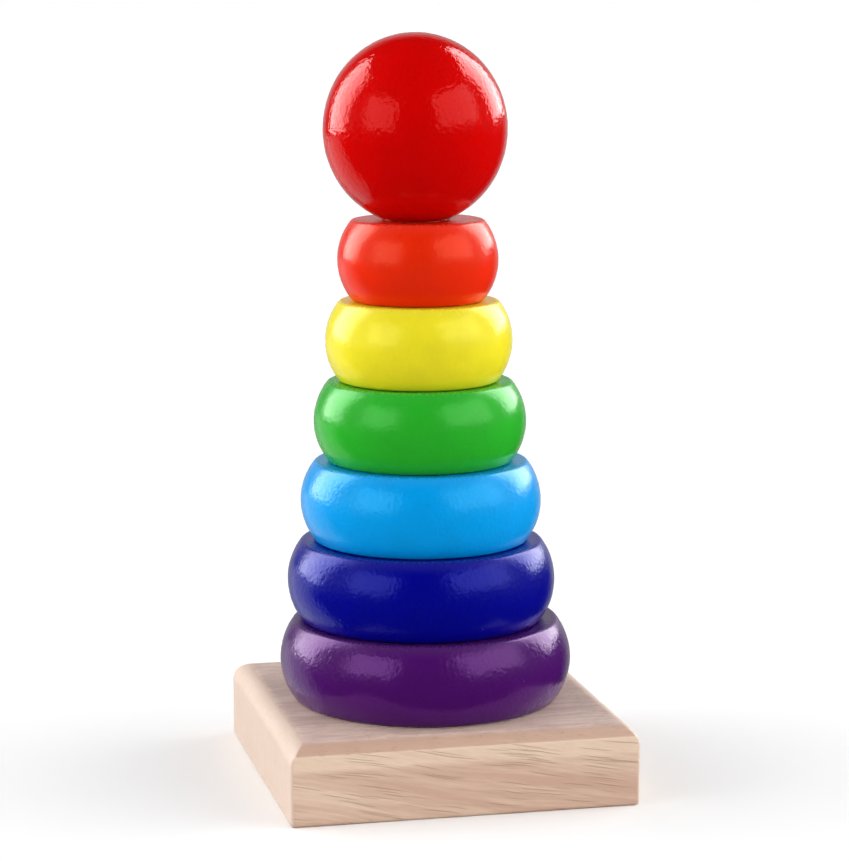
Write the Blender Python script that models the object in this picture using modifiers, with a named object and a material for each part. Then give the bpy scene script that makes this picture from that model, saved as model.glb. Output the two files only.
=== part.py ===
"""A wooden ring-stacking tower: a square base with one peg, six painted rings and a ball.

Metres, +Z up. The origin is the middle of the base's underside, and the base's sides run along X and Y.
"""

from math import asin, atan2, cos, pi, radians, sin, tan

import bmesh
import bpy
from mathutils import Vector

# Driving dimensions.
GAP = 0.0003  # between two pieces that touch

BASE_SIDE = 0.065
BASE_HEIGHT = 0.015
BASE_TOP_ROUNDING = 0.0039
BASE_BOTTOM_BREAK = 0.0006
BASE_EDGE_SEGMENTS = 6

PEG_DIAMETER = 0.008
PEG_HOLE_FLOOR = 0.004  # wood left under the peg
PEG_TOP = 0.122
PEG_ROUNDING = 0.0015
PEG_BOTTOM_BREAK = 0.0005

RING_HEIGHT = 0.0148
RING_WALL_RADIUS = 0.0118  # of the arc that makes the outer wall bulge
RING_EDGE_RADIUS = 0.001

BALL_DIAMETER = 0.0344
BALL_HEIGHT = 0.0341  # from its flat to its crown
BALL_HALF_HEIGHT = 0.01775  # of the whole egg-shaped ball, before the flat is cut
BALL_BORE_DEPTH = 0.017
DRILL_POINT_ANGLE = radians(118)

BORE_DIAMETER = 0.0115  # of every ring and of the ball
BORE_BREAK = 0.0005
TURN_STEPS = 48
PEG_STEPS = 32
RING_WALL_STEPS = 10
ROUNDING_STEPS = 3
BALL_STEPS = 18
MERGE = 0.00001
SMOOTH_BELOW = radians(35)

# The peg's hole is drilled a little off the middle of the base.
PEG_PLACE = Vector((-0.0019, -0.0006, 0))

# Rings and ball are loose on the peg, and each rests a little to one side or the other of it.
PLAY_ANGLE = radians(167.3)
PLAY_DIRECTION = Vector((cos(PLAY_ANGLE), sin(PLAY_ANGLE), 0))
BALL_PLAY = 0.00065

# From the base up: name, diameter, play, colour.
RINGS = (
    ("purple_ring", 0.0550, -0.0012, (84, 36, 112)),
    ("dark_blue_ring", 0.0505, -0.0004, (10, 8, 140)),
    ("light_blue_ring", 0.0452, -0.00035, (8, 142, 216)),
    ("green_ring", 0.0398, -0.0002, (48, 164, 52)),
    ("yellow_ring", 0.0350, 0.0, (224, 208, 48)),
    ("orange_ring", 0.0300, 0.0002, (222, 48, 24)),
)
BALL_COLOUR = (196, 10, 16)
WOOD_COLOUR = (226, 196, 168)
PAINT_ROUGHNESS = 0.18
WOOD_ROUGHNESS = 0.6


def clear_scene():
    for obj in list(bpy.data.objects):
        bpy.data.objects.remove(obj, do_unlink=True)
    for collection in list(bpy.data.collections):
        bpy.data.collections.remove(collection)


def new_collection(name):
    collection = bpy.data.collections.new(name)
    bpy.context.scene.collection.children.link(collection)
    return collection


def linear(channel):
    """One 8-bit sRGB channel as a linear value."""
    value = channel / 255
    return value / 12.92 if value <= 0.04045 else ((value + 0.055) / 1.055) ** 2.4


def add_material(obj, colour, roughness):
    material = bpy.data.materials.new(obj.name)
    material.use_nodes = True
    shader = material.node_tree.nodes["Principled BSDF"]
    shader.inputs["Base Color"].default_value = (*map(linear, colour), 1)
    shader.inputs["Roughness"].default_value = roughness
    shader.inputs["Metallic"].default_value = 0
    obj.data.materials.append(material)


def place(obj, collection, middle, height):
    """Hangs the piece on an empty that stands on its own upright axis, at its lower face."""
    axis = bpy.data.objects.new(f"{obj.name}_axis", None)
    axis.location = middle + Vector((0, 0, height))
    collection.objects.link(axis)
    collection.objects.link(obj)
    obj.parent = axis


def turned(name, profile, closed, steps):
    """A solid turned about Z from (radius, height) points that run down its outer side."""
    mesh = bpy.data.meshes.new(name)
    edges = [(i, i + 1) for i in range(len(profile) - 1)]
    if closed:
        edges.append((len(profile) - 1, 0))
    mesh.from_pydata([(radius, 0, height) for radius, height in profile], edges, [])
    obj = bpy.data.objects.new(name, mesh)
    screw = obj.modifiers.new("Turn", "SCREW")
    screw.axis = "Z"
    screw.angle = 2 * pi
    screw.steps = steps
    screw.render_steps = steps
    screw.use_merge_vertices = True
    screw.merge_threshold = MERGE
    screw.use_smooth_shade = True
    return obj


def arc(centre, size, start, end, steps):
    """Points of an arc about a (radius, height) centre, from one angle to the other."""
    angles = [start + (end - start) * i / steps for i in range(steps + 1)]
    return [(centre[0] + size * cos(a), centre[1] + size * sin(a)) for a in angles]


def ring_profile(radius):
    """Flat above and below, a bulging wall with small rounded edges, and a plain bore with broken edges."""
    bore = BORE_DIAMETER / 2
    half = RING_HEIGHT / 2
    middle = radius - RING_WALL_RADIUS
    rise = half - RING_EDGE_RADIUS
    reach = ((RING_WALL_RADIUS - RING_EDGE_RADIUS) ** 2 - rise**2) ** 0.5
    meet = atan2(rise, reach)
    top = arc((middle + reach, half + rise), RING_EDGE_RADIUS, pi / 2, meet, ROUNDING_STEPS)
    wall = arc((middle, half), RING_WALL_RADIUS, meet, -meet, RING_WALL_STEPS)
    bottom = arc((middle + reach, half - rise), RING_EDGE_RADIUS, -meet, -pi / 2, ROUNDING_STEPS)
    mouth = [(bore, RING_HEIGHT - BORE_BREAK), (bore + BORE_BREAK, RING_HEIGHT)]
    foot = [(bore + BORE_BREAK, 0), (bore, BORE_BREAK)]
    return mouth + top + wall[1:-1] + bottom + foot


def ball_profile():
    """An egg-shaped ball, a little taller than it is wide, cut flat below, with a blind bore up from the flat."""
    radius = BALL_DIAMETER / 2
    bore = BORE_DIAMETER / 2
    middle = BALL_HEIGHT - BALL_HALF_HEIGHT
    flat_angle = -asin(middle / BALL_HALF_HEIGHT)
    outer = [(0, BALL_HEIGHT)]
    for step in range(1, BALL_STEPS + 1):
        angle = pi / 2 + (flat_angle - pi / 2) * step / BALL_STEPS
        outer.append((radius * cos(angle), middle + BALL_HALF_HEIGHT * sin(angle)))
    tip = BALL_BORE_DEPTH + bore / tan(DRILL_POINT_ANGLE / 2)
    return outer + [(bore + BORE_BREAK, 0), (bore, BORE_BREAK), (bore, BALL_BORE_DEPTH), (0, tip)]


def peg_profile(length):
    """A dowel with a rounded top and a broken lower edge."""
    radius = PEG_DIAMETER / 2
    top = arc((radius - PEG_ROUNDING, length - PEG_ROUNDING), PEG_ROUNDING, pi / 2, 0, ROUNDING_STEPS)
    return [(0, length)] + top + [(radius, PEG_BOTTOM_BREAK), (radius - PEG_BOTTOM_BREAK, 0), (0, 0)]


def add_base(parts, cutters):
    """A square block: its four upper edges are rounded and meet in mitres, and its lower edges are broken."""
    mesh = bpy.data.meshes.new("base")
    cage = bmesh.new()
    bmesh.ops.create_cube(cage, size=1)
    bmesh.ops.scale(cage, vec=(BASE_SIDE, BASE_SIDE, BASE_HEIGHT), verts=cage.verts)
    bmesh.ops.translate(cage, vec=(0, 0, BASE_HEIGHT / 2), verts=cage.verts)
    weight = cage.edges.layers.float.new("bevel_weight_edge")
    for edge in cage.edges:
        heights = [vert.co.z for vert in edge.verts]
        if min(heights) > BASE_HEIGHT / 2:
            edge[weight] = 1
        elif max(heights) < BASE_HEIGHT / 2:
            edge[weight] = BASE_BOTTOM_BREAK / BASE_TOP_ROUNDING
    cage.to_mesh(mesh)
    cage.free()
    base = bpy.data.objects.new("base", mesh)
    place(base, parts, Vector((0, 0, 0)), 0)
    rounding = base.modifiers.new("Rounding", "BEVEL")
    rounding.limit_method = "WEIGHT"
    rounding.width = BASE_TOP_ROUNDING
    rounding.segments = BASE_EDGE_SEGMENTS

    bpy.ops.mesh.primitive_cylinder_add(
        vertices=PEG_STEPS,
        radius=PEG_DIAMETER / 2 + GAP,
        depth=2 * (BASE_HEIGHT - PEG_HOLE_FLOOR),
        location=PEG_PLACE + Vector((0, 0, BASE_HEIGHT)),
    )
    cutter = bpy.context.object
    cutter.name = "peg_hole"
    cutter.hide_render = True
    cutter.display_type = "WIRE"
    for collection in cutter.users_collection:
        collection.objects.unlink(cutter)
    cutters.objects.link(cutter)
    hole = base.modifiers.new("Peg hole", "BOOLEAN")
    hole.object = cutter
    hole.operation = "DIFFERENCE"
    hole.solver = "EXACT"
    mesh.shade_smooth()
    mesh.set_sharp_from_angle(angle=SMOOTH_BELOW)
    add_material(base, WOOD_COLOUR, WOOD_ROUGHNESS)


def add_peg(parts):
    bottom = PEG_HOLE_FLOOR + GAP
    peg = turned("peg", peg_profile(PEG_TOP - bottom), False, PEG_STEPS)
    place(peg, parts, PEG_PLACE, bottom)
    add_material(peg, WOOD_COLOUR, WOOD_ROUGHNESS)


def add_rings(parts):
    """Stacks the rings on the base, and returns the height of the last one's upper face."""
    height = BASE_HEIGHT
    for name, diameter, play, colour in RINGS:
        ring = turned(name, ring_profile(diameter / 2), True, TURN_STEPS)
        place(ring, parts, PEG_PLACE + PLAY_DIRECTION * play, height + GAP)
        add_material(ring, colour, PAINT_ROUGHNESS)
        height += GAP + RING_HEIGHT
    return height


def add_ball(parts, height):
    ball = turned("red_ball", ball_profile(), False, TURN_STEPS)
    place(ball, parts, PEG_PLACE + PLAY_DIRECTION * BALL_PLAY, height + GAP)
    add_material(ball, BALL_COLOUR, PAINT_ROUGHNESS)


def main():
    clear_scene()
    parts = new_collection("ring_stacking_tower")
    cutters = new_collection("cutters")
    add_base(parts, cutters)
    add_peg(parts)
    add_ball(parts, add_rings(parts))


main()
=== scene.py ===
"""A wooden ring-stacking tower: six painted rings and a ball, loose on a peg in a square base.

Every length is in metres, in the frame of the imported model. The shaders work in millimetres.
"""

from math import asin, atan2, cos, pi, radians, sin, sqrt, tan

import bpy
from bpy.props import FloatProperty, FloatVectorProperty, IntProperty, PointerProperty
from mathutils import Matrix, Vector, noise


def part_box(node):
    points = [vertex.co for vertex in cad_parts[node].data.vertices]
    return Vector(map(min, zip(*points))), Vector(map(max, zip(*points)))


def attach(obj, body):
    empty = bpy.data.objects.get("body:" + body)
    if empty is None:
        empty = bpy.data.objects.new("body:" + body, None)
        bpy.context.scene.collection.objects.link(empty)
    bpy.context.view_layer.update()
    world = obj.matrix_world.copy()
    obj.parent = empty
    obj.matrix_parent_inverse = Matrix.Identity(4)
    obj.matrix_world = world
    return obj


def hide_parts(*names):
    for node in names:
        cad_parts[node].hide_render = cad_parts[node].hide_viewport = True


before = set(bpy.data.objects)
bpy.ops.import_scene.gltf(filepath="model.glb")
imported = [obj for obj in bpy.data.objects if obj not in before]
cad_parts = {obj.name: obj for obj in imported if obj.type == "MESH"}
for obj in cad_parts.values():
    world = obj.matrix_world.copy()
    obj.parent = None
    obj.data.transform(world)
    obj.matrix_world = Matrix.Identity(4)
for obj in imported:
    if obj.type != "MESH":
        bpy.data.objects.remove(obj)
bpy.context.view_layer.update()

bl_info = {
    "name": "Ring-stacking tower",
    "version": (1, 0, 0),
    "blender": (4, 5, 0),
    "location": "3D View > Sidebar > Tower",
    "description": "Builds a wooden tower of painted rings on a peg, with its finishes and a studio",
    "category": "Object",
}

MM = 0.001
RINGS = ("purple_ring", "dark_blue_ring", "light_blue_ring", "green_ring", "yellow_ring", "orange_ring")
THICK_COATS = RINGS[:3]

# How finely the pieces are cut into faces
SIDE_STEPS = 56
CORNER_STEPS = 6
UNDER_ROWS = 16
TOP_ROWS = 24
PEG_STEPS = 96
BALL_ROWS = 110

# The base's sanding marks, and half the angle of a drill's point
MARK_SIZE = 0.004
DRILL_POINT = radians(59)

# The wood. A band is the heights in millimetres where it starts, is full, fades and ends. Then come
# the width of a season's growth in millimetres, and the depth of the relief in metres.
PALE_BAND = (9.4, 11.0, 13.0, 13.3)
# The second band is painted shade: the rounded upper edges are coloured darker, as if they were in shade.
ROUNDING_SHADE_BAND = (13.0, 13.3, 14.7, 15.0)
SEASON_WIDTH = 3.4
WOOD_RELIEF = 0.00008

# The stage. The backdrop's spread is where it starts and is full, as cosines from straight behind,
# and its light is the dimmest and the brightest.
FLOOR_SIDE = 12.0
LIGHT_DISTANCE = 1.1
BACKDROP_SPREAD = (0.76, 0.95)
BACKDROP_LIGHT = (0.01, 0.48)
LIGHTS_AIM = Vector((0, 0, 0.0675))
CAMERA_PLACE = Vector((-0.12038, -0.52820, 0.15785))
CAMERA_AIM = Vector((-0.00065, 0.00015, 0.06563))


def size_of(node):
    low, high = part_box(node)
    return high - low


def foot_of(node):
    """The middle of a node's lowest face."""
    low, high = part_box(node)
    return Vector(((low.x + high.x) / 2, (low.y + high.y) / 2, low.z))


# Properties


def length(name, description, default):
    return FloatProperty(name=name, description=description, default=default, unit="LENGTH", precision=5)


def share(name, description, default):
    return FloatProperty(name=name, description=description, default=default, min=0, max=1, subtype="FACTOR")


def strength(name, description, default):
    return FloatProperty(name=name, description=description, default=default, min=0)


def colour(name, description, default):
    return FloatVectorProperty(
        name=name, description=description, default=default, min=0, max=1, subtype="COLOR"
    )


class BaseSettings(bpy.types.PropertyGroup):
    side: length("Side", "Length of each side of the block", size_of("base").x)
    height: length("Height", "Thickness of the block", size_of("base").z)
    top_rounding: length("Top rounding", "Radius of the rounded upper edges across the grain", 0.0039)
    arris_height: length("Arris height", "Height of the crease under the rounding along the grain", 0.0131)
    corner_rounding: length("Corner rounding", "Radius of the four upright edges", 0.0006)
    bottom_break: length("Bottom break", "Radius of the lower edges", 0.0006)
    hole_diameter: length("Hole diameter", "Width of the peg's hole", 0.0084)
    hole_floor: length("Hole floor", "Wood left under the peg", 0.0042)
    unevenness: length("Unevenness", "Deepest sanding mark on the faces", 0.00007)


class PegSettings(bpy.types.PropertyGroup):
    diameter: length("Diameter", "Thickness of the dowel", size_of("peg").x)
    rounding: length("Rounding", "Radius of the dowel's upper edge", 0.0015)
    unevenness: length("Unevenness", "Deepest dent along the dowel", 0.00004)
    wave: length("Wave size", "Distance between neighbouring dents", 0.006)


class RingSettings(bpy.types.PropertyGroup):
    height: length("Height", "Thickness of each ring", size_of(RINGS[0]).z)
    bore: length("Bore", "Diameter of the hole that the peg goes through", 0.0115)
    wall_radius: length("Wall radius", "Radius of the bulging outer wall", 0.0118)
    edge_radius: length("Edge radius", "Radius where the wall meets the flats", 0.001)
    bore_radius: length("Bore edge radius", "Radius at the mouths of the bore", 0.0005)
    unevenness: length("Unevenness", "How far turning and sanding leave the wall from true", 0.00012)
    wave: length("Wave size", "Distance between neighbouring waves of the wall", 0.007)
    settle: length("Settle", "How far a ring sinks into the gap that the mechanism keeps under it", 0.00024)
    steps: IntProperty(name="Turn steps", description="Faces round each ring", default=240, min=12)


class BallSettings(bpy.types.PropertyGroup):
    bore: length("Bore", "Diameter of the blind hole under the ball", 0.0115)
    bore_depth: length("Bore depth", "Depth of the blind hole to its shoulder", 0.017)
    unevenness: length("Unevenness", "How far turning and sanding leave the ball from true", 0.00012)
    wave: length("Wave size", "Distance between neighbouring waves of the surface", 0.009)
    crown: length("Crown", "Height of the ball's top above its widest level", 0.01775)
    settle: length("Settle", "How far the ball sinks into the gap that the mechanism keeps under it", 0.00024)
    steps: IntProperty(name="Turn steps", description="Faces round the ball", default=240, min=12)


class WoodSettings(bpy.types.PropertyGroup):
    cream: colour("Pale wood", "Colour of the palest bands", (0.85, 0.635, 0.475))
    tan: colour("Tan wood", "Colour of the darker, pinker bands", (0.65, 0.415, 0.305))
    pore: colour("Pores", "Colour inside the open pores", (0.48, 0.265, 0.165))
    # Painted sheen: the upper face is coloured lighter and rosier, standing in for the sheen and light that
    # fall on it.
    painted_top_sheen: colour("Rosy wood", "Tinge of the upper face", (0.80, 0.63, 0.58))
    end: colour("End grain", "Colour of the end grain", (0.74, 0.56, 0.46))
    roughness: share("Roughness", "Roughness of the bare sanded wood", 0.45)
    pore_length: length("Pore length", "Spacing of the pores along the grain", 0.015)
    pore_spacing: length("Pore spacing", "Spacing of the pores across the grain", 0.00027)


class PaintSettings(bpy.types.PropertyGroup):
    red: colour("Red", "Paint of the ball", (0.60, 0.001, 0.0006))
    orange: colour("Orange", "Paint of the smallest ring", (0.785, 0.02, 0.002))
    yellow: colour("Yellow", "Paint of the second smallest ring", (0.83, 0.72, 0.018))
    green: colour("Green", "Paint of the third smallest ring", (0.02, 0.405, 0.02))
    light_blue: colour("Light blue", "Paint of the third largest ring", (0.0006, 0.32, 0.79))
    dark_blue: colour("Dark blue", "Paint of the second largest ring", (0.0004, 0.001, 0.235))
    purple: colour("Purple", "Paint of the largest ring", (0.06, 0.0038, 0.12))
    roughness: share("Roughness", "Roughness of the rings' satin paint", 0.21)
    ball_roughness: share("Ball roughness", "Roughness of the ball's glossier paint", 0.11)
    peel: length("Orange peel", "Depth of the fine pebbling on the smaller rings", 0.00005)
    thick_peel: length("Thick orange peel", "Depth of the pebbling on the three larger rings", 0.00008)
    ball_peel: length("Ball orange peel", "Depth of the pebbling on the ball", 0.00008)
    grain: length("Raised grain", "Depth of the wood's grain under the paint", 0.00002)


class StageSettings(bpy.types.PropertyGroup):
    floor: colour("Floor", "Colour of the floor", (0.62, 0.62, 0.62))
    ambient: strength("Ambient", "Light from every side", 0.2)
    shade: share("Shade", "How much less of the side light comes from high up", 0.5)
    sides: strength("Sides", "Extra light from the left and the right", 5.0)
    windows: strength("Windows", "Brightness of the two front reflections", 2.6)
    strips: strength("Strips", "Brightness of the two side reflections", 6.5)
    glow: strength("Glow", "Brightness of the low reflection on the left", 0.8)
    focal_length: FloatProperty(
        name="Focal length",
        description="Focal length of the lens",
        default=122.15,
        unit="CAMERA",
    )
    azimuth: FloatProperty(
        name="Azimuth",
        description="Direction round the tower that the lights are set out from",
        default=radians(-12.838),
        subtype="ANGLE",
    )


# Nodes


class Value:
    """An output socket. Arithmetic on it adds Math nodes to its tree."""

    def __init__(self, nodes, socket):
        self.nodes = nodes
        self.socket = socket

    def __add__(self, other):
        return self.nodes.math("ADD", self, other)

    def __sub__(self, other):
        return self.nodes.math("SUBTRACT", self, other)

    def __rsub__(self, other):
        return self.nodes.math("SUBTRACT", other, self)

    def __mul__(self, other):
        return self.nodes.math("MULTIPLY", self, other)

    def __truediv__(self, other):
        return self.nodes.math("DIVIDE", self, other)

    def __rtruediv__(self, other):
        return self.nodes.math("DIVIDE", other, self)

    def __pow__(self, other):
        return self.nodes.math("POWER", self, other)

    __radd__ = __add__
    __rmul__ = __mul__


class Nodes:
    """Adds nodes to one tree."""

    def __init__(self, tree):
        self.tree = tree

    def add(self, kind, settings=None, sockets=None, output=0):
        """Adds a node: its settings first, then a value or a link for each named socket."""
        node = self.tree.nodes.new(kind)
        for name, setting in (settings or {}).items():
            setattr(node, name, setting)
        for name, given in (sockets or {}).items():
            socket = next(s for s in node.inputs if name in (s.identifier, s.name))
            if isinstance(given, Value):
                self.tree.links.new(given.socket, socket)
            else:
                socket.default_value = given
        if isinstance(output, str):
            return Value(self, next(s for s in node.outputs if output in (s.identifier, s.name)))
        return Value(self, node.outputs[output]) if node.outputs else node

    def output(self, value, number):
        """Another output of the node that gives this value."""
        return Value(self, value.socket.node.outputs[number])

    def math(self, operation, *values):
        sockets = dict(zip(("Value", "Value_001", "Value_002"), values))
        return self.add("ShaderNodeMath", {"operation": operation}, sockets)

    def clamp(self, value):
        return self.add("ShaderNodeClamp", None, {"Value": value})

    def ramp(self, value, start, end, low=0.0, high=1.0):
        """A smooth step from low at start to high at end."""
        return self.add(
            "ShaderNodeMapRange",
            {"interpolation_type": "SMOOTHSTEP"},
            {"Value": value, "From Min": start, "From Max": end, "To Min": low, "To Max": high},
        )

    def band(self, value, start, full, fade, end):
        """Rises from 0 at start to 1 at full, and falls from fade back to 0 at end."""
        return self.ramp(value, start, full) * self.ramp(value, fade, end, 1.0, 0.0)

    def vector(self, operation, *vectors, output="Vector", **sockets):
        sockets.update(zip(("Vector", "Vector_001", "Vector_002"), vectors))
        return self.add("ShaderNodeVectorMath", {"operation": operation}, sockets, output)

    def combine(self, x, y, z):
        return self.add("ShaderNodeCombineXYZ", None, {"X": x, "Y": y, "Z": z})

    def split(self, vector):
        x = self.add("ShaderNodeSeparateXYZ", None, {"Vector": vector})
        return x, self.output(x, 1), self.output(x, 2)

    def mix(self, factor, first, second):
        colours = {"Factor_Float": factor, "A_Color": first, "B_Color": second}
        return self.add("ShaderNodeMix", {"data_type": "RGBA"}, colours, "Result_Color")

    def noise(self, vector, scale, detail, roughness, seed):
        sockets = {"Vector": vector, "W": seed, "Scale": scale, "Detail": detail, "Roughness": roughness}
        return self.add("ShaderNodeTexNoise", {"noise_dimensions": "4D"}, sockets)

    def cells(self, vector):
        """The distance to the nearest of many scattered points, and a random colour for each point."""
        distance = self.add("ShaderNodeTexVoronoi", None, {"Vector": vector, "Scale": 1.0}, "Distance")
        return distance, self.output(distance, 1)


def rgba(shade, scale=1.0, lift=0.0):
    """A socket's colour, made from a property's colour."""
    return (*(min(1, c * scale + lift) for c in shade[:3]), 1.0)


def new_material(name):
    """A material with nothing in it but a Principled shader, and its nodes."""
    material = bpy.data.materials.new(name)
    material.use_nodes = True
    material.node_tree.nodes.clear()
    nodes = Nodes(material.node_tree)
    shader = nodes.add("ShaderNodeBsdfPrincipled")
    nodes.add("ShaderNodeOutputMaterial", None, {"Surface": shader})
    return material, nodes, shader.socket.node


def feed(nodes, shader, **sockets):
    for name, given in sockets.items():
        socket = shader.inputs[name.replace("_", " ")]
        if isinstance(given, Value):
            nodes.tree.links.new(given.socket, socket)
        else:
            socket.default_value = given


def millimetres(nodes):
    place = nodes.add("ShaderNodeTexCoord", None, None, "Object")
    return nodes.vector("SCALE", place, Scale=1 / MM)


def bump(nodes, height, depth):
    """Turns a height of 0 to 1 into a normal. The depth is in metres."""
    return nodes.add("ShaderNodeBump", None, {"Height": height, "Distance": depth, "Strength": 1.0})


# Finishes


def pores(nodes, along, across, depth, settings):
    """Where the open pores are, 0 to 1: thin dashes along the grain, and dots where it ends."""
    length_mm = settings.pore_length / MM
    spacing_mm = settings.pore_spacing / MM
    cell = nodes.combine(along / length_mm, across / spacing_mm, depth / spacing_mm)
    distance, chance = nodes.cells(cell)
    random, other, _ = nodes.split(chance)
    size = 0.17 + random * 0.2
    shown = nodes.ramp(other, 0.0, 0.35)
    return nodes.clamp((1 - distance / size) * 2.2) * shown


def wood(name, settings, axis, slant=0.0, straighten=0.0):
    """Bare sanded wood with its grain along X or Z.

    A slant makes the grain run downhill along its length, and straighten bends it level again.
    """
    material, nodes, shader = new_material(name)
    x, y, z = nodes.split(millimetres(nodes))
    along, across, depth = (x, y, z) if axis == "X" else (z, x, y)

    # The grain wanders a little from its course
    course = nodes.combine(along * 0.06, across * 0.1, depth * 0.1)
    wander = nodes.noise(course, scale=1.0, detail=1.0, roughness=0.5, seed=6.0)
    depth = depth + along * slant - along * along * straighten + (wander - 0.5) * 1.6

    def drawn_out(share):
        """The place, with its length along the grain cut to a share, so that a pattern is drawn out."""
        return nodes.combine(along * share, across, depth)

    bands = nodes.noise(drawn_out(0.03), scale=0.13, detail=1.5, roughness=0.5, seed=3.0)
    growth = (across + depth * 0.3 + bands * 9) * (2 * pi / SEASON_WIDTH)
    rings = nodes.math("SINE", growth) * 0.5 + 0.5
    streaks = nodes.noise(drawn_out(0.05), scale=0.75, detail=3.0, roughness=0.6, seed=8.0)
    fibres = nodes.noise(drawn_out(0.1), scale=4.0, detail=2.0, roughness=0.6, seed=5.0)
    flattened = nodes.combine(along, across, depth * 0.25)
    blotches = nodes.noise(flattened, scale=0.8, detail=3.0, roughness=0.6, seed=2.0)

    # Which faces look up, and which show the end grain
    facing = nodes.split(nodes.add("ShaderNodeNewGeometry", None, None, "Normal"))
    above = nodes.ramp(facing[2], 0.9, 1.0)
    end = nodes.ramp(nodes.math("ABSOLUTE", facing["XYZ".index(axis)]), 0.12, 0.4)

    # Colour: a tone between pale and tan wood, with painted shade darkening the rounded upper edges, a
    # painted sheen making the top lighter and rosier, and plainer end grain
    pale = nodes.band(z, *PALE_BAND)
    # Painted shade along the rounded upper edges: it shifts the tone towards tan, and darkens the face again
    # below.
    rounding_shade = nodes.band(z, *ROUNDING_SHADE_BAND)
    seasons = (rings - 0.5) * 0.12 + (bands - 0.5) * 2.2 + (streaks - 0.5) * 2.6
    tone = nodes.clamp(seasons + 0.6 - pale * 0.85 + rounding_shade * 0.5)
    face = nodes.mix(tone, rgba(settings.cream), rgba(settings.tan))
    face = nodes.mix(nodes.clamp((fibres - 0.4) * 0.6), face, rgba(settings.tan, 0.72))
    # Painted shade: the rounded upper edges are mixed towards a darker tan.
    face = nodes.mix(rounding_shade * 0.5, face, rgba(settings.tan, 0.8))
    # Painted sheen: faces that look up are mixed halfway to a lighter, rosier colour, for the light they
    # catch.
    painted_top_sheen = nodes.mix(tone, rgba(settings.painted_top_sheen, 1.08), rgba(settings.painted_top_sheen, 0.78))
    face = nodes.mix(above * 0.5, face, painted_top_sheen)
    end_tone = nodes.clamp((blotches - 0.4) * 2.4)
    end_face = nodes.mix(end_tone, rgba(settings.end), rgba(settings.cream, 0.82))
    body = nodes.mix(end, face, end_face)
    open_pores = pores(nodes, along, across, depth, settings)
    shade = nodes.mix(open_pores * (0.56 - end * 0.35), body, rgba(settings.pore))

    height = fibres * 0.25 + streaks * 0.15 - open_pores * 0.9
    rough = settings.roughness + (fibres - 0.5) * 0.15 + open_pores * 0.2
    normal = bump(nodes, height, WOOD_RELIEF)
    feed(nodes, shader, Base_Color=shade, Roughness=rough, Specular_IOR_Level=0.5, Normal=normal)
    return material


def paint(name, settings, shade, roughness, peel_depth):
    """Satin paint over wood: fine pebbling, raised grain, a few pits, and rims a touch lighter and rougher.
    The lightening stands for a thinner coat there and is also a painted highlight along the rim.
    """
    material, nodes, shader = new_material(name)
    place = millimetres(nodes)
    x, y, z = nodes.split(place)
    drawn_out = nodes.combine(x, y, z * 0.2)
    grain = nodes.noise(drawn_out, scale=2.2, detail=3.0, roughness=0.6, seed=4.0)
    peel = nodes.noise(place, scale=1.3, detail=1.6, roughness=0.5, seed=7.0)
    mottle = nodes.noise(place, scale=1.3, detail=2.0, roughness=0.6, seed=3.0)
    cloud = nodes.noise(place, scale=0.22, detail=3.0, roughness=0.55, seed=1.0)
    patches = nodes.noise(place, scale=0.12, detail=1.0, roughness=0.5, seed=9.0)
    patch = nodes.ramp(patches, 0.4, 0.62)

    dots, chance = nodes.cells(nodes.vector("SCALE", place, Scale=0.4))
    random, _, _ = nodes.split(chance)
    pits = nodes.ramp(dots, 0.02, 0.06, 1.0, 0.0) * nodes.ramp(random, 0.82, 0.84)
    rim = nodes.add("ShaderNodeAttribute", {"attribute_name": "rim"}, None, "Fac")

    body = nodes.mix(nodes.clamp((cloud - 0.5) * 1.4 + 0.3), rgba(shade), rgba(shade, 0.86))
    body = nodes.mix(nodes.clamp((grain - 0.5) * 0.6), body, rgba(shade, 1.2, 0.003))
    # Rims are mixed a touch lighter: partly a thinner coat, partly a painted highlight along the rim. Pits
    # are lighter too.
    body = nodes.mix(rim * 0.05 + pits * 0.3, body, rgba(shade, 0.6, 0.2))
    tint = [0.08 + 0.92 * (c / max(shade)) ** 0.35 for c in shade]

    pebbles = peel * (peel_depth / MM) * (1 - rim * 0.8)
    fibres = grain * (settings.grain / MM) * (0.4 + patch)
    height = pebbles + fibres - pits * 0.005
    rough = roughness + (cloud - 0.5) * 0.08 + (mottle - 0.5) * 0.16 + pits * 0.2 + rim * 0.06
    feed(nodes, shader, Base_Color=body, Roughness=rough, Normal=bump(nodes, height, MM))
    feed(nodes, shader, Specular_IOR_Level=0.5, Specular_Tint=rgba(tint))
    return material


# Shapes


def finish_piece(obj, node, body):
    """Puts a finished piece in the place of its CAD node."""
    if not obj.data.polygons:
        raise RuntimeError(f"{obj.name} has no faces")
    bpy.context.scene.collection.objects.link(obj)
    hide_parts(node)
    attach(obj, body)


def lofted(name, loops, start, end):
    """A closed skin over loops of points, from the start point out and up over the loops to the end point.

    The loops run anticlockwise seen from above.
    """
    count = len(loops[0])
    points = [start, *(point for loop in loops for point in loop), end]
    faces = []
    for i in range(count):
        after = (i + 1) % count
        faces.append((0, 1 + after, 1 + i))
        for row in range(len(loops) - 1):
            below, above = 1 + row * count, 1 + (row + 1) * count
            faces.append((below + i, below + after, above + after, above + i))
        last = 1 + (len(loops) - 1) * count
        faces.append((last + i, last + after, len(points) - 1))
    mesh = bpy.data.meshes.new(name)
    mesh.from_pydata(points, [], faces)
    mesh.shade_smooth()
    mesh.validate()
    return bpy.data.objects.new(name, mesh)


def circle(middle, radius, height, count, phase=0.0):
    angles = [phase + 2 * pi * i / count for i in range(count)]
    return [Vector((middle.x + radius * cos(a), middle.y + radius * sin(a), height)) for a in angles]


def between(first, last, steps):
    """Evenly spaced numbers from the first to the last, both included."""
    return [first + (last - first) * i / steps for i in range(steps + 1)]


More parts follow.
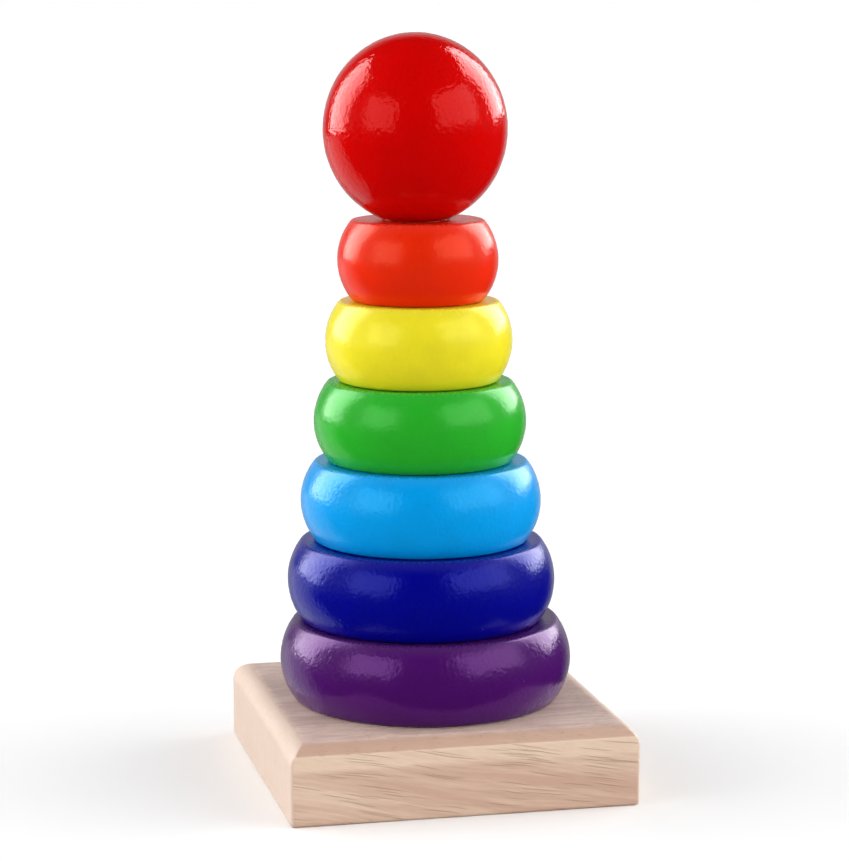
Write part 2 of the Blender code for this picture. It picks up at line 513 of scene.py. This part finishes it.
def arc(centre, radius, start, end, steps):
    return [(centre[0] + radius * cos(a), centre[1] + radius * sin(a)) for a in between(start, end, steps)]


def uneven(point, wave, depth, seed):
    """Moves a point in towards the Z axis, by up to the depth."""
    shift = Vector((seed, 2 * seed, 3 * seed))
    inward = (1 + noise.fractal(point / wave + shift, 1.0, 2.0, 2)) / 2
    out = Vector((point.x, point.y, 0))
    return point - out.normalized() * depth * min(1, max(0, inward))


def turned(name, profile, middle, settings, steps, seed):
    """A turned solid, from (radius, height) pairs that start and end on its axis."""
    foot = Vector((middle.x, middle.y, 0))
    loops = []
    for radius, height in profile[1:-1]:
        ring = circle(Vector((0, 0, 0)), radius, height, steps)
        loops.append([uneven(point, settings.wave, settings.unevenness, seed) + foot for point in ring])
    ends = [Vector((middle.x, middle.y, profile[i][1])) for i in (0, -1)]
    return lofted(name, loops, *ends)


def rectangle(half_x, half_y, corner, height, side_steps, corner_steps):
    """A rectangle with rounded corners, as points from the lower end of its right side."""
    points = []
    sides = ((half_x, half_y), (half_y, half_x), (half_x, half_y), (half_y, half_x))
    for turn, (out, flat) in enumerate(sides):
        spin = Matrix.Rotation(turn * pi / 2, 3, "Z")
        outline = [(out, y) for y in between(corner - flat, flat - corner, side_steps)]
        outline += arc((out - corner, flat - corner), corner, 0, pi / 2, corner_steps)[1:-1]
        points += [spin @ Vector((x, y, height)) for x, y in outline]
    return points


def towards(outer, inner, rows):
    """Loops from the outer one to the inner one, both left out."""
    return [[a.lerp(b, row / rows) for a, b in zip(outer, inner)] for row in range(1, rows)]


def base_object(settings):
    """The block: its upper edges rounded, with a crease along the grain, and a blind hole for the peg."""
    half, top = settings.side / 2, settings.height
    rounding, broken, corner = settings.top_rounding, settings.bottom_break, settings.corner_rounding
    arris = settings.arris_height
    hole = settings.hole_diameter / 2
    peg = foot_of("peg")
    drop = top - arris
    big = (rounding**2 + drop**2) / (2 * drop)

    def level(inset, height, along=None):
        along = inset if along is None else along
        return rectangle(half - inset, half - along, corner, height, SIDE_STEPS, CORNER_STEPS)

    walls = [level(broken - x, z) for x, z in arc((0, broken), broken, -pi / 2, 0, 4)]
    walls += [level(0, z) for z in between(broken, top - rounding, 14)[1:-1]]
    heights = [z for _, z in arc((0, top - rounding), rounding, 0, pi / 2, 16) if abs(z - arris) > MM / 5]
    for z in sorted([*heights, arris - MM / 10, arris + MM / 10]):
        inset = rounding - sqrt(max(0, rounding**2 - (z - top + rounding) ** 2))
        along = rounding - sqrt(max(0, big**2 - (z - top + big) ** 2)) if z > arris else 0
        walls.append(level(inset, z, along))
    count = len(walls[0])
    phase = atan2(-(half - corner), half)
    mouth = circle(peg, hole + MM / 4, top, count, phase)
    under = circle(Vector((0, 0, 0)), MM, 0, count, phase)
    loops = [under, *reversed(towards(walls[0], under, UNDER_ROWS)), *walls]
    loops += [*towards(walls[-1], mouth, TOP_ROWS), mouth]
    loops += [circle(peg, hole, z, count, phase) for z in between(top - MM / 4, settings.hole_floor, 8)]
    for loop in loops[UNDER_ROWS + 1 :]:
        for point in loop:
            in_hole = max(abs(point.x), abs(point.y)) < half - rounding - MM and point.z < top
            if in_hole:
                continue
            mark = noise.noise(Vector((point.x / 4, point.y, point.z)) / MARK_SIZE)
            depth = settings.unevenness * max(0, mark)
            if point.z < top:
                point.x -= depth * point.x / half
                point.y -= depth * point.y / half
            else:
                point.z -= depth
    return lofted("base_block", loops, Vector((0, 0, 0)), Vector((peg.x, peg.y, settings.hole_floor)))


def peg_profile(settings, low, high):
    radius = settings.diameter / 2
    rounding = settings.rounding
    profile = [(0, low), (radius / 2, low)]
    profile += [(x, z) for x, z in arc((radius - MM / 2, low + MM / 2), MM / 2, -pi / 2, 0, 4)]
    profile += [(radius, z) for z in between(low + MM / 2, high - rounding, 80)[1:-1]]
    profile += arc((radius - rounding, high - rounding), rounding, 0, pi / 2, 8)
    return [*profile, (radius / 4, high), (0, high)]


def ball_profile(settings, low, high, radius):
    """From the blind bore's tip down the bore, out across the flat and up over the egg-shaped outside."""
    bore, lip, crown = settings.bore / 2, MM / 2, settings.crown
    middle = high - crown
    flat_angle = -asin((middle - low) / crown)
    depth = low + settings.bore_depth
    tip = depth + bore / tan(DRILL_POINT)
    inside = [(0, tip), (bore / 3, tip - (tip - depth) / 3), (bore * 2 / 3, depth + (tip - depth) / 3)]
    inside += [(bore, z) for z in between(depth, low + lip, 12)]
    inside += arc((bore + lip, low + lip), lip, pi, 3 * pi / 2, 4)[1:]
    flat = radius * cos(flat_angle)
    edge = [flat_angle + radians(a) for a in (0.3, 0.6)]
    angles = [*edge, *between(flat_angle + radians(1), pi / 2, BALL_ROWS)]
    outside = [(flat - MM * 0.6, low), (flat - MM * 0.15, low)]
    outside += [(radius * cos(a), middle + crown * sin(a)) for a in angles[:-1]]
    return inside + outside + [(0, high)]


def ring_tree():
    """Geometry nodes that turn a ring: a grid, bent round its profile and then round the axis."""
    tree = bpy.data.node_groups.new("Turned ring", "GeometryNodeTree")
    nodes = Nodes(tree)
    tree.interface.new_socket("Geometry", in_out="OUTPUT", socket_type="NodeSocketGeometry")
    kinds = {
        "Diameter": "Float",
        "Height": "Float",
        "Bore": "Float",
        "Wall radius": "Float",
        "Edge radius": "Float",
        "Bore edge radius": "Float",
        "Unevenness": "Float",
        "Wave size": "Float",
        "Turn steps": "Int",
        "Seed": "Float",
        "Foot": "Vector",
        "Paint": "Material",
    }
    for name, kind in kinds.items():
        tree.interface.new_socket(name, in_out="INPUT", socket_type=f"NodeSocket{kind}")
    group = tree.nodes.new("NodeGroupInput")
    given = {name: Value(nodes, group.outputs[name]) for name in kinds}

    radius = given["Diameter"] / 2
    half = given["Height"] / 2
    wall = given["Wall radius"]
    edge = given["Edge radius"]
    bore = given["Bore"] / 2
    lip = given["Bore edge radius"]
    rise = half - edge
    reach = nodes.math("SQRT", (wall - edge) ** 2 - rise**2)
    meet = nodes.math("ARCTAN2", rise, reach)
    flat = radius - wall + reach
    inner = bore + lip

    # Each section of the profile: its faces, and how far along a line or round an arc it goes.
    sections = (
        (12, "line", (flat - inner, 0)),
        (8, "arc", (edge, -pi / 2, -1 * meet)),
        (44, "arc", (wall, -1 * meet, meet)),
        (8, "arc", (edge, meet, pi / 2)),
        (12, "line", (inner - flat, 0)),
        (4, "arc", (lip, pi / 2, pi)),
        (8, "line", (0, 2 * lip - given["Height"])),
        (4, "arc", (lip, pi, 3 * pi / 2)),
    )
    total = sum(section[0] for section in sections)
    grid = nodes.add(
        "GeometryNodeMeshGrid",
        None,
        {"Size X": 1.0, "Size Y": 1.0, "Vertices X": given["Turn steps"] + 1, "Vertices Y": total + 1},
    )
    place = nodes.split(nodes.add("GeometryNodeInputPosition"))
    angle = (place[0] + 0.5) * (2 * pi)
    step = (place[1] + 0.5) * total
    out, up = inner, 0.0
    done = 0
    for faces, kind, sizes in sections:
        part = nodes.clamp((step - done) / faces)
        if kind == "line":
            out = out + part * sizes[0]
            up = up + part * sizes[1]
        else:
            size, first, last = sizes
            turn = part * (last - first) + first
            out = out + size * (nodes.math("COSINE", turn) - nodes.math("COSINE", first))
            up = up + size * (nodes.math("SINE", turn) - nodes.math("SINE", first))
        done += faces
    rim = nodes.ramp(up, given["Height"] * 0.86, given["Height"]) * nodes.ramp(out, flat * 0.93, flat)
    direction = nodes.combine(nodes.math("COSINE", angle), nodes.math("SINE", angle), 0.0)
    true = nodes.vector("ADD", nodes.vector("SCALE", direction, Scale=out), nodes.combine(0.0, 0.0, up))
    wave = nodes.noise(true, scale=1 / given["Wave size"], detail=1.0, roughness=0.5, seed=given["Seed"])
    outer = nodes.ramp(out, inner + lip, flat)
    shift = nodes.vector("SCALE", direction, Scale=(wave - 0.5) * 2 * given["Unevenness"] * outer)
    moved = nodes.vector("ADD", nodes.vector("ADD", true, shift), given["Foot"])

    stored = nodes.add(
        "GeometryNodeStoreNamedAttribute",
        {"data_type": "FLOAT", "domain": "POINT"},
        {"Geometry": grid, "Name": "rim", "Value": rim},
    )
    bent = nodes.add("GeometryNodeSetPosition", None, {"Geometry": stored, "Position": moved})
    joined = nodes.add("GeometryNodeMergeByDistance", None, {"Geometry": bent, "Distance": MM / 100})
    smooth = nodes.add("GeometryNodeSetShadeSmooth", None, {"Geometry": joined, "Shade Smooth": True})
    real = nodes.add("GeometryNodeRealizeInstances", None, {"Geometry": smooth})
    painted = nodes.add("GeometryNodeSetMaterial", None, {"Geometry": real, "Material": given["Paint"]})
    nodes.add("NodeGroupOutput", None, {"Geometry": painted})
    return tree


def run_tree(name, tree, inputs):
    """What a tree makes from these inputs, as an object with a plain mesh."""
    holder = bpy.data.objects.new(name + "_tree", bpy.data.meshes.new(name + "_tree"))
    bpy.context.scene.collection.objects.link(holder)
    modifier = holder.modifiers.new(tree.name, "NODES")
    modifier.node_group = tree
    for socket in tree.interface.items_tree:
        if socket.in_out == "INPUT":
            modifier[socket.identifier] = inputs[socket.name]
    graph = bpy.context.evaluated_depsgraph_get()
    mesh = bpy.data.meshes.new_from_object(holder.evaluated_get(graph))
    holder.modifiers.remove(modifier)
    bpy.data.objects.remove(holder)
    mesh.name = name
    return bpy.data.objects.new(name, mesh)


# Operators


class TOWER_OT_base(bpy.types.Operator):
    """Make the square wooden base"""

    bl_idname = "tower.base"
    bl_label = "Base"

    def execute(self, context):
        base = base_object(context.scene.tower_base)
        finish = wood("sanded_wood", context.scene.tower_wood, "X", slant=0.19, straighten=0.0006)
        base.data.materials.append(finish)
        finish_piece(base, "base", "stand")
        return {"FINISHED"}


class TOWER_OT_peg(bpy.types.Operator):
    """Make the dowel that the rings stand on"""

    bl_idname = "tower.peg"
    bl_label = "Peg"

    def execute(self, context):
        settings = context.scene.tower_peg
        low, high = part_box("peg")
        profile = peg_profile(settings, low.z, high.z)
        peg = turned("dowel", profile, foot_of("peg"), settings, PEG_STEPS, seed=1.0)
        peg.data.materials.append(wood("dowel_wood", context.scene.tower_wood, "Z"))
        finish_piece(peg, "peg", "stand")
        return {"FINISHED"}


class TOWER_OT_rings(bpy.types.Operator):
    """Make the six painted rings"""

    bl_idname = "tower.rings"
    bl_label = "Rings"

    def execute(self, context):
        settings, paints = context.scene.tower_rings, context.scene.tower_paint
        tree = ring_tree()
        for seed, name in enumerate(RINGS):
            shade = name.removesuffix("_ring")
            peel = paints.thick_peel if name in THICK_COATS else paints.peel
            finish = paint(f"{shade}_paint", paints, getattr(paints, shade), paints.roughness, peel)
            inputs = {
                "Diameter": size_of(name).x,
                "Height": settings.height + settings.settle,
                "Bore": settings.bore,
                "Wall radius": settings.wall_radius,
                "Edge radius": settings.edge_radius,
                "Bore edge radius": settings.bore_radius,
                "Unevenness": settings.unevenness,
                "Wave size": settings.wave,
                "Turn steps": settings.steps,
                "Seed": float(seed),
                "Foot": foot_of(name) - Vector((0, 0, settings.settle)),
                "Paint": finish,
            }
            finish_piece(run_tree(f"turned_{name}", tree, inputs), name, name)
        return {"FINISHED"}


class TOWER_OT_ball(bpy.types.Operator):
    """Make the painted ball that tops the tower"""

    bl_idname = "tower.ball"
    bl_label = "Ball"

    def execute(self, context):
        settings, paints = context.scene.tower_ball, context.scene.tower_paint
        low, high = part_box("red_ball")
        profile = ball_profile(settings, low.z - settings.settle, high.z, (high.x - low.x) / 2)
        ball = turned("turned_ball", profile, foot_of("red_ball"), settings, settings.steps, seed=5.0)
        finish = paint("red_paint", paints, paints.red, paints.ball_roughness, paints.ball_peel)
        ball.data.materials.append(finish)
        finish_piece(ball, "red_ball", "red_ball")
        return {"FINISHED"}


class TOWER_OT_stage(bpy.types.Operator):
    """Make the floor, the lights and the camera"""

    bl_idname = "tower.stage"
    bl_label = "Stage"

    def execute(self, context):
        settings = context.scene.tower_stage
        add_floor(settings)
        add_world(context.scene, settings)
        add_lights(settings)
        add_camera(context.scene, settings)
        context.scene.view_settings.view_transform = "Standard"
        return {"FINISHED"}


def add_floor(settings):
    """A pale floor, white where the camera sees it and not mirrored in the paint."""
    half = FLOOR_SIDE / 2
    corners = [(-half, -half, 0), (half, -half, 0), (half, half, 0), (-half, half, 0)]
    mesh = bpy.data.meshes.new("floor")
    mesh.from_pydata(corners, [], [(0, 1, 2, 3)])
    floor = bpy.data.objects.new("floor", mesh)
    material, nodes, shader = new_material("floor")
    seen = nodes.add("ShaderNodeLightPath", None, None, "Is Camera Ray")
    shade = nodes.mix(seen, rgba(settings.floor), (1, 1, 1, 1))
    feed(nodes, shader, Base_Color=shade, Roughness=1.0, Specular_IOR_Level=0.0)
    mesh.materials.append(material)
    floor.visible_glossy = False
    bpy.context.scene.collection.objects.link(floor)


def add_world(scene, settings):
    """White to the camera, a light tent to the wood and the paint, and a pale backdrop in their gloss."""
    world = bpy.data.worlds.new("studio")
    world.use_nodes = True
    world.node_tree.nodes.clear()
    nodes = Nodes(world.node_tree)
    direction = nodes.add("ShaderNodeTexCoord", None, None, "Generated")
    away = Vector((-sin(settings.azimuth), cos(settings.azimuth), 0))
    side = Vector((cos(settings.azimuth), sin(settings.azimuth), 0))
    backwards = nodes.vector("DOT_PRODUCT", direction, away, output="Value")
    sideways = nodes.vector("DOT_PRODUCT", direction, side, output="Value")
    up = nodes.clamp(nodes.split(direction)[2])
    tent = settings.ambient + sideways * sideways * (1 - up * settings.shade) * settings.sides
    backdrop = nodes.ramp(backwards, *BACKDROP_SPREAD, *BACKDROP_LIGHT)
    seen = nodes.add("ShaderNodeLightPath", None, None, "Is Camera Ray")
    glossy = nodes.output(seen, 3)
    light = seen + (1 - seen) * (glossy * backdrop + (1 - glossy) * tent)
    background = nodes.add("ShaderNodeBackground", None, {"Color": (1, 1, 1, 1), "Strength": light})
    nodes.add("ShaderNodeOutputWorld", None, {"Surface": background})
    world.cycles.sampling_method = "NONE"
    scene.world = world


def add_lights(settings):
    """Two windows in front, two brighter strips at the sides and a low glow, seen only in the gloss."""
    lights = (
        ("left_window", -46, 21, 0.78, 0.66, settings.windows),
        ("right_window", 58, 27, 1.10, 0.72, settings.windows),
        ("left_strip", -114, 24, 0.70, 1.00, settings.strips),
        ("left_glow", -126, -26, 0.90, 0.90, settings.glow),
        ("right_strip", 130, 28, 0.72, 0.90, settings.strips),
    )
    for name, angle, elevation, width, height, brightness in lights:
        light = bpy.data.lights.new(name, "AREA")
        light.shape = "RECTANGLE"
        light.size, light.size_y = width, height
        light.energy = brightness * pi * width * height
        turn = settings.azimuth + radians(angle)
        rise = radians(elevation)
        back = Vector((sin(turn) * cos(rise), -cos(turn) * cos(rise), sin(rise)))
        obj = bpy.data.objects.new(name, light)
        obj.location = LIGHTS_AIM + back * LIGHT_DISTANCE
        obj.rotation_euler = back.to_track_quat("Z", "Y").to_euler()
        obj.visible_camera = False
        obj.visible_diffuse = False
        bpy.context.scene.collection.objects.link(obj)


def add_camera(scene, settings):
    camera = bpy.data.cameras.new("camera")
    camera.lens = settings.focal_length
    camera.sensor_width = 36
    camera.clip_start, camera.clip_end = 0.05, 30
    obj = bpy.data.objects.new("camera", camera)
    obj.location = CAMERA_PLACE
    obj.rotation_euler = (CAMERA_PLACE - CAMERA_AIM).to_track_quat("Z", "Y").to_euler()
    scene.collection.objects.link(obj)
    scene.camera = obj


class TOWER_PT_panel(bpy.types.Panel):
    """The tower's pieces and their sizes"""

    bl_idname = "TOWER_PT_panel"
    bl_label = "Ring-stacking tower"
    bl_space_type = "VIEW_3D"
    bl_region_type = "UI"
    bl_category = "Tower"

    def draw(self, context):
        for operator, groups in PARTS.items():
            box = self.layout.box()
            box.operator(operator)
            for group in groups:
                settings = getattr(context.scene, group)
                for name in settings.bl_rna.properties.keys():
                    if name not in ("rna_type", "name"):
                        box.prop(settings, name)


GROUPS = {
    "tower_base": BaseSettings,
    "tower_peg": PegSettings,
    "tower_rings": RingSettings,
    "tower_ball": BallSettings,
    "tower_wood": WoodSettings,
    "tower_paint": PaintSettings,
    "tower_stage": StageSettings,
}
PARTS = {
    "tower.base": ("tower_base", "tower_wood"),
    "tower.peg": ("tower_peg",),
    "tower.rings": ("tower_rings", "tower_paint"),
    "tower.ball": ("tower_ball",),
    "tower.stage": ("tower_stage",),
}
OPERATORS = (TOWER_OT_base, TOWER_OT_peg, TOWER_OT_rings, TOWER_OT_ball, TOWER_OT_stage)
CLASSES = (*GROUPS.values(), *OPERATORS, TOWER_PT_panel)


def register():
    for cls in CLASSES:
        bpy.utils.register_class(cls)
    for name, group in GROUPS.items():
        setattr(bpy.types.Scene, name, PointerProperty(type=group))


def unregister():
    for name in GROUPS:
        delattr(bpy.types.Scene, name)
    for cls in reversed(CLASSES):
        bpy.utils.unregister_class(cls)


def main():
    register()
    for operator in PARTS:
        getattr(bpy.ops.tower, operator.removeprefix("tower."))()


if __name__ == "__main__":
    main()
